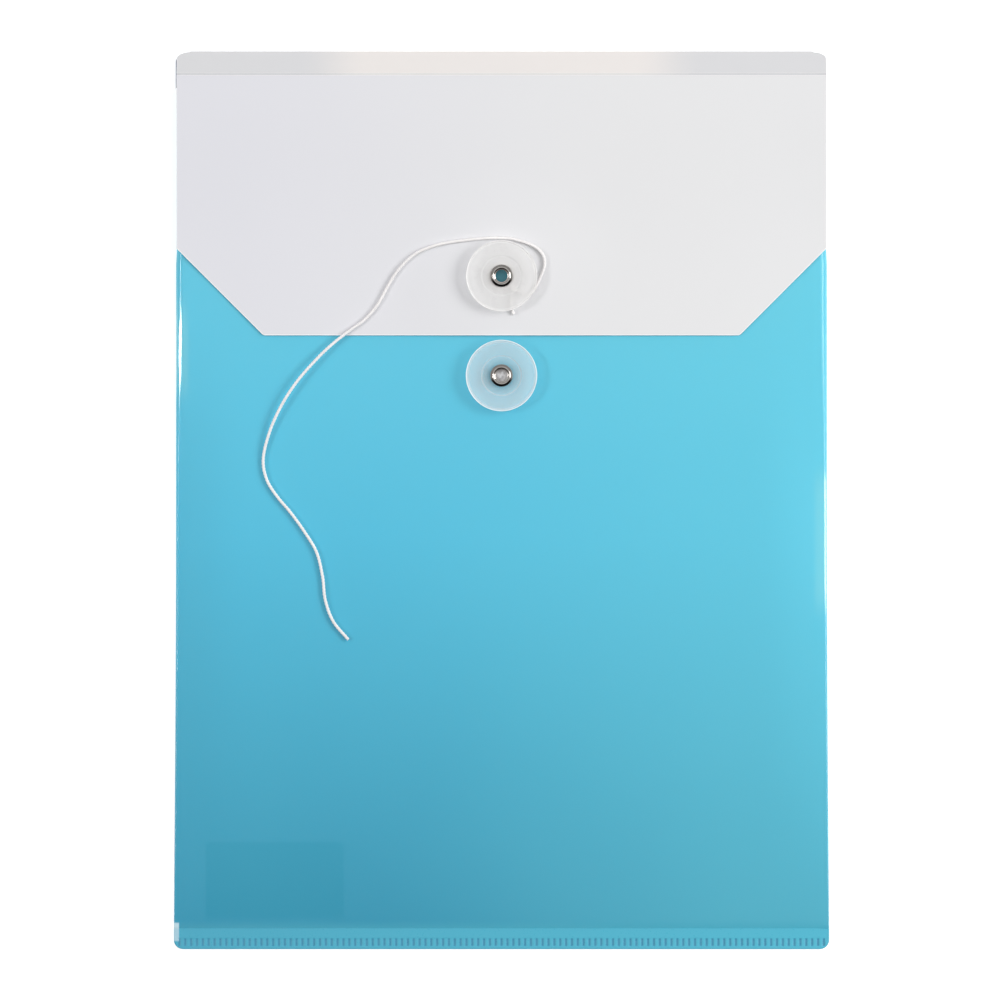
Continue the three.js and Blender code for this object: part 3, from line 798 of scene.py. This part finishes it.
def blend_across(strip):
    """Bakes the strip's placement into its mesh; it is joined to no body."""
    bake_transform(strip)


TOP_STRIP_HALF_LENGTH = 114.9
spine_normal = SPINE_ANGLE - math.pi / 2
top_strip = crease_strip("top_crease_strip", TOP_CREASE, -math.pi / 2, spine_normal,
                         TOP_STRIP_HALF_LENGTH, 0.03)
blend_across(top_strip)
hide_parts("top_crease")
flap_strip = crease_strip("flap_crease_strip", FLAP_CREASE, spine_normal, math.pi / 2,
                          SHEET_HALF_WIDTH, 0.05)
blend_across(flap_strip)
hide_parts("flap_crease")
print("crease strips:", len(top_strip.data.polygons), "faces each")

# %% [markdown]
# ## The buttons
#
# A button is turned in profile: a collar that stands on the film, a thin disc with a
# raised rim, and a shallow dish round the eyelet. Drawing the profile and spinning it is
# how its mould was made too, and rounding the profile rounds every edge at once.

# %% Discs
def disc(name, centre_y, film_top):
    radius, collar, dish = 13.15, 3.7, 7.7
    foot = film_top + COLLAR_FOOT
    under = foot + COLLAR_LENGTH
    top = under + DISC_THICKNESS
    rim_top = top + 0.12
    profile = [
        (EYELET_HOLE, foot), (collar, foot), (collar + 0.15, under - 0.1), (radius - 0.45, under),
        (radius, under + 0.35), (radius, rim_top), (radius - 0.36, rim_top), (radius - 0.5, top),
        (dish, top), (dish - 0.6, top - DISH_DEPTH), (EYELET_HOLE, top - DISH_DEPTH),
    ]
    return revolved(name, rounded(profile, 0.1), centre_y, sides=160)


upper_disc = disc("upper_disc_moulding", UPPER_BUTTON, FLAP_TOP)
lower_disc = disc("lower_disc_moulding", LOWER_BUTTON, pouch_height(LOWER_BUTTON))
for moulding, body, node in ((upper_disc, "upper_disc", "upper_button"),
                             (lower_disc, "lower_disc", "lower_button")):
    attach(moulding, body)
    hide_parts(node)
print("discs:", len(upper_disc.data.polygons), "faces each")

# %% [markdown]
# ## The eyelets
#
# An eyelet is drawn from thin metal: a tube whose head is rolled over the disc and whose
# foot is clinched out below the film. The rolled crown is what shows. Its steep outer
# flank and its throat mirror different parts of the room, so both need a true curve.

# %% Eyelets
def eyelet(name, centre_y, crown_foot, clinch_top):
    bore, shank, clinch = 2.2, 2.6, 3.4
    foot = clinch_top - 0.4
    profile = [
        (bore, foot + 0.12), (shank, foot), (clinch - 0.15, foot), (clinch, foot + 0.2),
        (clinch - 0.1, clinch_top), (shank, clinch_top), (shank, crown_foot), (3.9, crown_foot),
    ]
    crown = [(4.15, 0.02), (4.1, 0.1), (4, 0.18), (3.85, 0.3), (3.6, 0.49), (3.36, 0.68),
             (3.27, 0.745), (3.21, 0.775), (3.12, 0.785), (3, 0.78), (2.93, 0.755), (2.87, 0.71),
             (2.66, 0.54), (2.57, 0.47), (2.5, 0.435), (2.39, 0.44), (2.3, 0.41), (2.22, 0.33),
             (2.2, 0.2)]
    profile = rounded(profile[:-1], 0.1, steps=2, closed=False) + profile[-1:]
    profile += [(radius, crown_foot + height) for radius, height in crown]
    return revolved(name, profile, centre_y, sides=96, soft_angle=55)


CROWN_LIFT = COLLAR_FOOT + COLLAR_LENGTH + DISC_THICKNESS + 0.05
upper_eyelet = eyelet("upper_eyelet_tube", UPPER_BUTTON, FLAP_TOP + CROWN_LIFT, 7.3)
lower_eyelet = eyelet("lower_eyelet_tube", LOWER_BUTTON, FULL_HEIGHT + CROWN_LIFT, 6.1)
for tube, body, node in ((upper_eyelet, "flap_sheet", "upper_eyelet"),
                         (lower_eyelet, "pouch", "lower_eyelet")):
    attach(tube, body)
    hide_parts(node)

# %% Backing washer and cap
washer_corners = [(EYELET_HOLE, 7.4), (4.8, 7.4), (4.8, 7.7), (EYELET_HOLE, 7.7)]
washer_outline = rounded(washer_corners, 0.1)
washer = revolved("upper_washer_ring", washer_outline, UPPER_BUTTON, sides=72)
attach(washer, "flap_sheet")
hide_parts("upper_backing_washer")
cap_outline = [(AXIS, 5.3), (3.7, 5.3), (4.8, 5.6), (4.8, 6.2), (3.7, 6.2), (3.7, 5.62)]
cap_outline = rounded(cap_outline, 0.12, steps=3, closed=False)
for radius in (2.6, 2, 1.4, 0.8, AXIS):
    cap_outline.append((radius, 5.64 + 0.2 * (1 - (radius / 2.6) ** 2)))
cap = revolved("lower_cap_shell", cap_outline, LOWER_BUTTON, sides=72)
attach(cap, "pouch")
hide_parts("lower_backing_cap")
print("metal pieces: 2 tubes, 1 washer, 1 cap")

# %% [markdown]
# ## The label
#
# Inside the pouch, against the back wall, lies a blank paper label. It is only a faint
# rectangle behind the film, but it shows that the film is translucent. It is cut with
# slightly rounded corners, as die-cut labels are.

# %% Label
LABEL_LEFT, LABEL_BOTTOM, LABEL_WIDTH, LABEL_LENGTH = -108.9, -154.0, 50.8, 28.0
label_corners = [(LABEL_LEFT + across * LABEL_WIDTH, LABEL_BOTTOM + along * LABEL_LENGTH)
                 for across, along in ((0, 0), (1, 0), (1, 1), (0, 1))]
label = cut_plate("blank_label", rounded(label_corners, 1.2), 0.1, FILM, edge=0.02)
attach(label, "pouch")
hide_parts("back_label")

# %% [markdown]
# ## Finishes
#
# Every finish starts from the Principled shader. A helper fills a node's inputs in one
# call: an input given as a socket is linked, and any other value is set. Colours are
# written as the eye sees them on a screen, from 0 to 255.

# %% Node helpers
def seen(red, green, blue):
    """A screen colour as the linear colour that shaders use."""
    linear = []
    for value in (red, green, blue):
        share = value / 255
        linear.append(share / 12.92 if share <= 0.04045 else ((share + 0.055) / 1.055) ** 2.4)
    return (*linear, 1.0)


def fill(tree, node, inputs):
    for key, value in inputs.items():
        if isinstance(value, bpy.types.NodeSocket):
            tree.links.new(value, node.inputs[key])
        else:
            node.inputs[key].default_value = value


def add(tree, kind, inputs=None, **settings):
    node = tree.nodes.new("ShaderNode" + kind)
    for key, value in settings.items():
        setattr(node, key, value)
    fill(tree, node, inputs or {})
    return node


def place(tree, stretch=(1, 1, 1), start=(0, 0, 0)):
    """Where a point of the piece is, in metres, stretched for streaked patterns."""
    coordinates = add(tree, "TexCoord").outputs["Object"]
    mapping = add(tree, "Mapping", {"Vector": coordinates, "Location": start, "Scale": stretch})
    return mapping.outputs["Vector"]


def split(tree, position):
    """The X, Y and Z of a point, as three sockets."""
    return add(tree, "SeparateXYZ", {"Vector": position}).outputs[:]


def new_finish(name):
    material = bpy.data.materials.new(name)
    material.use_nodes = True
    tree = material.node_tree
    return material, tree, tree.nodes["Principled BSDF"]


def noise(tree, position, scale, detail=2.0, roughness=0.5):
    node = add(tree, "TexNoise", {"Vector": position, "Scale": scale, "Detail": detail,
                                  "Roughness": roughness})
    return node.outputs["Fac"]


def between(tree, value, low, high, to_low=0.0, to_high=1.0, smooth=False):
    """A share that runs from to_low to to_high while the value runs from low to high."""
    kind = "SMOOTHSTEP" if smooth else "LINEAR"
    node = add(tree, "MapRange", {"Value": value, "From Min": low, "From Max": high,
                                  "To Min": to_low, "To Max": to_high}, interpolation_type=kind)
    return node.outputs["Result"]


def blend_colours(tree, share, first, second):
    return add(tree, "Mix", {0: share, 6: first, 7: second}, data_type="RGBA").outputs[2]


def ramp(tree, share, stops):
    node = add(tree, "ValToRGB", {"Fac": share})
    elements = node.color_ramp.elements
    while len(elements) < len(stops):
        elements.new(0.5)
    for element, (position, colour) in zip(elements, stops):
        element.position = position
        element.color = colour
    return node.outputs["Color"]


def maths(tree, operation, a, b=0.0):
    return add(tree, "Math", {0: a, 1: b}, operation=operation).outputs[0]


def product(tree, first, *others):
    for other in others:
        first = maths(tree, "MULTIPLY", first, other)
    return first


def bump(tree, height, strength, distance):
    node = add(tree, "Bump", {"Height": height, "Strength": strength, "Distance": distance})
    return node.outputs["Normal"]


def dress(piece, surface, cut_edge=None):
    """Gives a piece its finish, and its cut edges another one where they have it."""
    parts = [face.material_index for face in piece.data.polygons]
    piece.data.materials.clear()
    piece.data.materials.append(surface)
    if cut_edge:
        piece.data.materials.append(cut_edge)
    for face, part in zip(piece.data.polygons, parts):
        face.material_index = part if cut_edge else 0


# %% [markdown]
# ### Blue film
#
# Polypropylene film lets a little light through each wall. A colour ramp along the folder
# paints shade: the blue is painted deeper towards the weld and paler towards the mouth.
# The film is also painted paler at the right, as painted light. Extrusion leaves faint
# streaks along it, and its surface is satin, but where it is pulled flat round a side fold
# it shines, and its colour is made paler there as a painted highlight. At the lower left a
# small pale patch at the end of the fold, in the weld, is a painted highlight, and a thin
# strip of film left of the white sheet is painted darker blue as painted shade.

# %% Blue film finish
FILM_SHADED_BOTTOM, FILM_FULL, FILM_LIT_TOP = seen(52, 167, 200), seen(94, 214, 245), seen(112, 226, 252)
FILM_PAINTED_LIGHT_AND_CLOUD, FILM_PAINTED_CORNER_HIGHLIGHT, FILM_PAINTED_STRIP_SHADE = seen(128, 240, 254), seen(214, 244, 254), seen(44, 104, 150)
WELD_SHADED_LEFT, WELD_LIT_RIGHT, WELD_PAINTED_CORNER_HIGHLIGHT = seen(71, 177, 205), seen(79, 193, 219), seen(176, 216, 232)


def film_colour(tree, position):
    x, y, _ = split(tree, position)
    # Painted shade: the blue is painted deeper towards the weld and paler towards the mouth.
    along = between(tree, y, -0.1655, 0.08)
    sheet = ramp(tree, along, [(0.0, FILM_SHADED_BOTTOM), (0.62, FILM_FULL), (1.0, FILM_LIT_TOP)])
    # Painted light from the right: the film is painted paler towards the right.
    painted_light_right = between(tree, x, -0.07, 0.115, 0, 0.33, smooth=True)
    sheet = blend_colours(tree, painted_light_right, sheet, FILM_PAINTED_LIGHT_AND_CLOUD)
    at_weld = between(tree, y, -0.1545, -0.158, smooth=True)
    sheet = blend_colours(tree, at_weld, sheet, weld_colour_lit_from_right(tree, x))
    cloudy = noise(tree, position, 14, detail=1)
    sheet = blend_colours(tree, between(tree, cloudy, 0.3, 0.7, 0, 0.04), sheet, FILM_PAINTED_LIGHT_AND_CLOUD)
    # Painted highlight: a small pale patch at the left fold's end, in the weld.
    sheet = blend_colours(tree, painted_corner_highlight(tree, x, y), sheet, FILM_PAINTED_CORNER_HIGHLIGHT)
    # Painted shade: the thin strip of film left of the white sheet is painted darker blue.
    painted_strip_shade = product(tree, between(tree, x, -0.1193, -0.1197), between(tree, y, 0.15, 0.152))
    return blend_colours(tree, painted_strip_shade, sheet, FILM_PAINTED_STRIP_SHADE)


# Painted light from the right: the weld's blue is painted paler towards the right.
def weld_colour_lit_from_right(tree, x):
    return blend_colours(tree, between(tree, x, -0.12, 0.12), WELD_SHADED_LEFT, WELD_LIT_RIGHT)


def painted_corner_highlight(tree, x, y):
    """1 on a small pale patch at the left fold's end, in the weld: a painted highlight."""
    outside = between(tree, x, -0.1187, -0.1191)
    above = between(tree, y, -0.1628, -0.1622)
    below = between(tree, y, -0.1555, -0.1561)
    return product(tree, outside, above, below)


def fold_gloss_and_painted_highlight(tree, x, y):
    """1 on the two stretches where a side fold is pulled nearly flat. There the coat shines, and
    the colour is made paler as a painted highlight.
    """
    share = 0.0
    for side, (start, end) in FACET_STRETCHES.items():
        beside = between(tree, x, side * 0.1142, side * 0.1168, smooth=True)
        above = between(tree, y, start * MM, (start + FACET_FADE) * MM, smooth=True)
        below = between(tree, y, end * MM, (end - FACET_FADE) * MM, smooth=True)
        share = maths(tree, "ADD", product(tree, beside, above, below), share)
    return share


def blue_film_with_painted_light():
    material, tree, shader = new_finish("blue_film_with_painted_light")
    position = place(tree)
    x, y, _ = split(tree, position)
    gloss_and_highlight = fold_gloss_and_painted_highlight(tree, x, y)
    streaks = noise(tree, place(tree, (420, 6, 6)), 1, detail=3)
    on_walls = between(tree, maths(tree, "ABSOLUTE", x), 0.116, 0.114, 0.12, 1)
    fill(tree, shader, {
        # Painted highlight: the colour is made paler along the flattened fold stretches.
        "Base Color": blend_colours(tree, product(tree, gloss_and_highlight, 0.4),
                                    film_colour(tree, position), FILM_PAINTED_LIGHT_AND_CLOUD),
        "Roughness": product(tree, between(tree, streaks, 0.2, 0.8, 0.25, 0.265), on_walls),
        "Coat Weight": gloss_and_highlight,
        "Coat Roughness": 0.05,
        "Coat IOR": 1.8,
        "Normal": bump(tree, noise(tree, position, 2600, detail=1), 0.1, 0.00003),
        "Alpha": 0.62,
        "Specular IOR Level": 0.4,
        "IOR": 1.49,
    })
    return material


# %% Welded film finish
def welded_film_with_painted_shade():
    material, tree, shader = new_finish("welded_film_with_painted_shade")
    position = place(tree)
    x, y, z = split(tree, position)
    # Painted shade: the dents and the weld's rounded rim are painted a deeper blue.
    pressed = between(tree, z, 0.00042, 0.00059)
    colour = blend_colours(tree, pressed, seen(54, 150, 184), weld_colour_lit_from_right(tree, x))
    stipple = noise(tree, position, 1500, detail=2)
    fill(tree, shader, {
        "Base Color": blend_colours(tree, painted_corner_highlight(tree, x, y), colour, WELD_PAINTED_CORNER_HIGHLIGHT),
        "Roughness": between(tree, stipple, 0.3, 0.7, 0.26, 0.4),
        "Normal": bump(tree, stipple, 0.35, 0.00005),
        "Alpha": 0.86,
    })
    return material


# %% [markdown]
# ### White sheet
#
# The flap is opaque white polypropylene with a fine satin grain. It is painted a shade
# darker and cooler at the left, as painted shade, and the spine has a painted warm
# reflection in its middle.

# %% White sheet finish
def painted_reflection_share(tree, x):
    """1 along the middle of the spine, where a warm reflection is painted, and 0 towards its two
    ends.
    """
    return between(tree, maths(tree, "ABSOLUTE", x), 0.075, 0.048, smooth=True)


def white_sheet_with_painted_light():
    material, tree, shader = new_finish("white_sheet_with_painted_light")
    position = place(tree)
    x, y, _ = split(tree, position)
    # Painted shade: the flap is painted darker and cooler at the left, for light from the right.
    across = between(tree, x, -0.12, 0.06, smooth=True)
    flat = blend_colours(tree, across, seen(226, 226, 232), seen(231, 231, 232))
    on_spine = between(tree, y, 0.1566, 0.1574)
    # Painted reflection: the spine's middle is painted a warm tone.
    leaning = blend_colours(tree, painted_reflection_share(tree, x), seen(217, 217, 219), seen(235, 230, 227))
    colour = blend_colours(tree, on_spine, flat, leaning)
    cloudy = between(tree, noise(tree, position, 30, detail=2), 0.3, 0.7, 0, 0.05)
    grain = noise(tree, position, 3200, detail=2)
    fill(tree, shader, {
        "Base Color": blend_colours(tree, cloudy, colour, seen(214, 215, 219)),
        "Roughness": between(tree, grain, 0.3, 0.7, 0.38, 0.5),
        "Normal": bump(tree, grain, 0.15, 0.00003),
    })
    return material


# %% Cut edge and scored crease finishes
def bare_sheet(name, ends, middle, roughness):
    """White sheet where a knife or a scoring wheel has worked it. Its colour runs from the ends to
    a painted reflection in the middle.
    """
    material, tree, shader = new_finish(name)
    position = place(tree)
    colour = blend_colours(tree, painted_reflection_share(tree, split(tree, position)[0]), ends, middle)
    grain = noise(tree, position, 2400, detail=3)
    worked = between(tree, grain, 0.3, 0.7, 0, 0.2)
    fill(tree, shader, {
        "Base Color": blend_colours(tree, worked, colour, seen(236, 236, 238)),
        "Roughness": roughness,
        "Normal": bump(tree, grain, 0.2, 0.00003),
    })
    return material


# %% [markdown]
# ### Frosted discs
#
# The buttons are moulded from milky plastic and let half of the light through. Frosting
# scatters it, so a see-through share with a rough white surface comes closer than clear
# glass would. It is milkier at the rim, where the plastic is thicker, and a slightly milkier
# ring at the dish's step is a painted highlight. On the lower disc the darker blue-grey
# centre round the eyelet is painted shade.

# %% Frosted plastic finish
def frosted_plastic(name, centre_y, core_with_painted_shade, dish, rim, milk):
    material, tree, shader = new_finish(name)
    centred = place(tree, start=(0, -centre_y * MM, 0))
    x, y, _ = split(tree, centred)
    flat = add(tree, "CombineXYZ", {"X": x, "Y": y}).outputs["Vector"]
    radius = add(tree, "VectorMath", {0: flat}, operation="LENGTH").outputs["Value"]
    outwards = between(tree, radius, 0.003, 0.0132)
    shade = ramp(tree, outwards, [(0.0, core_with_painted_shade), (0.4, dish), (1.0, rim)])
    # Painted highlight: a slightly milkier ring at the dish's step.
    levels = [(0.37, milk), (0.42, milk + 0.05), (0.47, milk), (0.88, milk),
              (0.91, milk + 0.08), (0.955, milk + 0.08), (0.97, 0.75)]
    mist = noise(tree, centred, 260, detail=3)
    fill(tree, shader, {
        "Base Color": blend_colours(tree, between(tree, mist, 0.35, 0.7, 0, 0.12), shade, rim),
        "Alpha": ramp(tree, outwards, [(at, (level, level, level, 1)) for at, level in levels]),
        "Roughness": between(tree, mist, 0.3, 0.7, 0.24, 0.36),
        "Normal": bump(tree, noise(tree, centred, 2400, detail=1), 0.12, 0.00004),
    })
    return material


# %% [markdown]
# ### Nickel, string and label
#
# Plated nickel is a mirror with faint turning lines. The cotton cord is matt, with fine
# fibres that follow it. The label is plain uncoated paper, coloured dark grey as painted shade.

# %% Nickel finish
def nickel(name, dull, bright, smoothest, roughest):
    material, tree, shader = new_finish(name)
    tarnish = between(tree, noise(tree, place(tree), 700, detail=3), 0.35, 0.75)
    lines = noise(tree, place(tree, (1, 1, 9)), 1900, detail=1)
    fill(tree, shader, {
        "Base Color": blend_colours(tree, tarnish, bright, dull),
        "Metallic": 1,
        "Roughness": between(tree, tarnish, 0, 1, smoothest, roughest),
        "Normal": bump(tree, lines, 0.08, 0.00003),
    })
    return material


# %% String finish
def cotton_string():
    material, tree, shader = new_finish("cotton_string")
    fibres = noise(tree, place(tree), 3800, detail=3, roughness=0.7)
    raised = between(tree, fibres, 0.3, 0.7)
    fill(tree, shader, {
        "Base Color": blend_colours(tree, raised, seen(240, 236, 235), seen(255, 253, 252)),
        "Roughness": 0.88,
        "Sheen Weight": 0.35,
        "Normal": bump(tree, fibres, 0.5, 0.00008),
    })
    return material


# %% Label finish
def label_paper_painted_shade():
    material, tree, shader = new_finish("label_paper_painted_shade")
    pulp = noise(tree, place(tree), 900, detail=4, roughness=0.65)
    raised = between(tree, pulp, 0.35, 0.65)
    # Painted shade: the label's paper is coloured dark grey.
    fill(tree, shader, {
        "Base Color": blend_colours(tree, raised, seen(96, 103, 108), seen(112, 118, 122)),
        "Roughness": 0.85,
        "Normal": bump(tree, pulp, 0.2, 0.00004),
    })
    return material


# %% Dress the pieces
sheet_finish, cotton_finish = white_sheet_with_painted_light(), cotton_string()
metal_finish = nickel("nickel_plate", seen(186, 180, 175), seen(206, 202, 198), 0.09, 0.15)
cap_finish = nickel("cap_nickel", seen(186, 186, 188), seen(232, 232, 234), 0.22, 0.34)
# Painted highlight: cut edges are painted brighter than the sheet.
cut_edge_highlight = bare_sheet("cut_edge_painted_highlight", seen(255, 251, 250), seen(255, 251, 250), 0.35)
# Painted shade: the scored crease is painted darker than the sheet, with a painted reflection in
# its middle.
scored_crease_shade = bare_sheet("scored_crease_painted_shade", seen(207, 207, 210), seen(224, 222, 220), 0.5)
dress(pouch_film, blue_film_with_painted_light())
dress(weld_band, welded_film_with_painted_shade())
for piece in (flap, tab, spine):
    dress(piece, sheet_finish, cut_edge_highlight)
dress(top_strip, sheet_finish)
dress(flap_strip, scored_crease_shade)
dress(upper_disc, frosted_plastic("frosted_upper_disc", UPPER_BUTTON, seen(254, 252, 250),
                                  seen(250, 249, 248), seen(252, 251, 250), 0.36))
# Painted shade: the lower disc's centre is painted a darker blue-grey round its eyelet.
dress(lower_disc, frosted_plastic("frosted_lower_disc_painted_shade", LOWER_BUTTON, seen(156, 186, 196),
                                  seen(241, 247, 248), seen(254, 254, 254), 0.24))
for piece in (upper_eyelet, lower_eyelet, washer):
    dress(piece, metal_finish)
dress(cap, cap_finish)
for piece in (free_string, short_end, string_turn):
    dress(piece, cotton_finish)
dress(label, label_paper_painted_shade())
print("finishes:", len(bpy.data.materials))

# %% [markdown]
# ## Table and light
#
# The folder lies on a plain white table. The table's colour stays below white, and only
# what the camera and the mirrors see of it is lifted to white, so the folder's shadow
# stays and no extra light falls on the folder.

# %% Table
def table_finish():
    material, tree, shader = new_finish("white_table")
    fill(tree, shader, {"Base Color": (0.9, 0.9, 0.9, 1), "Roughness": 0.9,
                        "Specular IOR Level": 0.1})
    rays = add(tree, "LightPath").outputs
    lifted = maths(tree, "MAXIMUM", rays["Is Camera Ray"], rays["Is Glossy Ray"])
    lifted = maths(tree, "MAXIMUM", lifted, rays["Is Transmission Ray"])
    glow = add(tree, "Emission", {"Color": (1, 1, 1, 1), "Strength": product(tree, lifted, 0.5)})
    both = add(tree, "AddShader", {0: shader.outputs[0], 1: glow.outputs[0]})
    fill(tree, tree.nodes["Material Output"], {"Surface": both.outputs[0]})
    return material


TABLE_REACH, TABLE_DROP = 30000.0, 0.05
table_corners = [(x * TABLE_REACH, y * TABLE_REACH, -TABLE_DROP)
                 for x, y in ((-1, -1), (1, -1), (1, 1), (-1, 1))]
table = new_piece("table_top", table_corners, [(0, 1, 2, 3)])
dress(table, table_finish())


# %% Lights
def softbox(name, place_at, size, power):
    """A rectangular lamp that points at the middle of the folder."""
    lamp = bpy.data.lights.new(name, "AREA")
    lamp.shape = "RECTANGLE"
    lamp.size, lamp.size_y = size
    lamp.energy = power
    lamp_object = linked(name, lamp)
    lamp_object.location = place_at
    aim = -Vector(place_at)
    lamp_object.rotation_euler = aim.to_track_quat("-Z", "Y").to_euler()


softbox("key_softbox", (2.2, 0.3, 1.45), (1.7, 1.1), 49)
softbox("left_softbox", (-2.2, 0.0, 1.6), (1.0, 0.45), 22)

# %% Room light
world = bpy.data.worlds.new("soft_room")
bpy.context.scene.world = world
world.use_nodes = True
room = world.node_tree
_, towards_y, towards_z = split(room, add(room, "TexCoord").outputs["Generated"])
overhead = between(room, towards_z, 0.05, 0.9, 0.35, 1.0, smooth=True)
shaded_end = between(room, towards_y, -0.55, -0.12, 0.02, 1.0, smooth=True)
level = product(room, overhead, shaded_end, 0.79)
for_camera = add(room, "LightPath").outputs["Is Camera Ray"]
level = add(room, "Mix", {0: for_camera, 2: level, 3: 1.0}, data_type="FLOAT").outputs[0]
fill(room, room.nodes["Background"], {"Color": (1, 1, 1, 1), "Strength": level})
bpy.context.scene.view_settings.view_transform = "Standard"
